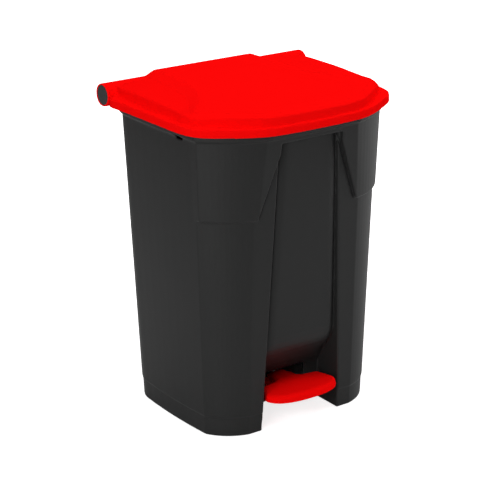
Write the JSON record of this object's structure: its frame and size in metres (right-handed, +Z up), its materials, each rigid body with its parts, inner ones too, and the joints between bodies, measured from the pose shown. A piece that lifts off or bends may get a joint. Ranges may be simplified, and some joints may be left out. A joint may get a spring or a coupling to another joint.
{
  "type": "pedal-operated waste bin",
  "caption": "Tall moulded waste bin with a toe recess, hinged lid, foot pedal, lever and lift rod; pressing the pedal raises the lid.",
  "frame": {"origin": "on the floor under the middle of the bin's bounding box", "axes": "+Z up, +Y to the rear (hinge side), front with the pedal at -Y, +X to the right when looking along +Y; X = 0 is the mirror plane"},
  "size_m": [0.4988, 0.4015, 0.6573],
  "materials": {
    "tub_plastic": "dark grey moulded polypropylene, fine satin grain",
    "lid_plastic": "bright red moulded polypropylene, satin sheen",
    "steel": "zinc plated",
    "white_plastic": "natural nylon",
    "rubber": "matt black rubber"
  },
  "bodies": {
    "tub": {"body_shell": "tub_plastic", "hinge_bracket_left": "tub_plastic", "hinge_bracket_right": "tub_plastic", "hinge_bracket_screws": "steel", "pivot_bracket": "steel", "pivot_bracket_screws": "steel", "pedal_axle": "steel", "axle_clips": "steel", "pivot_spacers": "white_plastic", "rod_guide": "white_plastic", "rod_guide_screws": "steel", "rear_cover": "tub_plastic", "rear_cover_screws": "steel", "foot_front_left": "rubber", "foot_front_right": "rubber", "foot_rear_left": "rubber", "foot_rear_right": "rubber"},
    "lid": {"lid_shell": "lid_plastic", "hinge_pin_left": "tub_plastic", "hinge_pin_right": "tub_plastic", "lid_crank": "tub_plastic", "lid_crank_screws": "steel", "crank_pin": "steel", "crank_pin_clips": "steel", "lid_bumpers": "rubber"},
    "pedal_and_lever": {"pedal": "lid_plastic", "pedal_lever": "tub_plastic", "pedal_screws": "steel", "clevis_pin": "steel", "clevis_clips": "steel"},
    "rod": {"lift_rod": "steel"}
  },
  "joints": [
    {"name": "lid_hinge", "type": "hinge", "parent": "tub", "child": "lid", "pos_m": [0, 0.17835, 0.6255], "axis": [-1, 0, 0], "range_deg": [0, 75]},
    {"name": "pedal_pivot", "type": "hinge", "parent": "tub", "child": "pedal_and_lever", "pos_m": [0, -0.01665, 0.047], "axis": [1, 0, 0], "range_deg": [0, 12.28]},
    {"name": "rod_pivot", "type": "hinge", "parent": "pedal_and_lever", "child": "rod", "pos_m": [0, 0.15335, 0.02874], "axis": [-1, 0, 0], "range_deg": [0, 12.28]}
  ],
  "couplings": [
    {"joint": "pedal_pivot", "follows": "lid_hinge", "ratio": 0.16351},
    {"joint": "rod_pivot", "follows": "lid_hinge", "ratio": 0.16351}
  ]
}
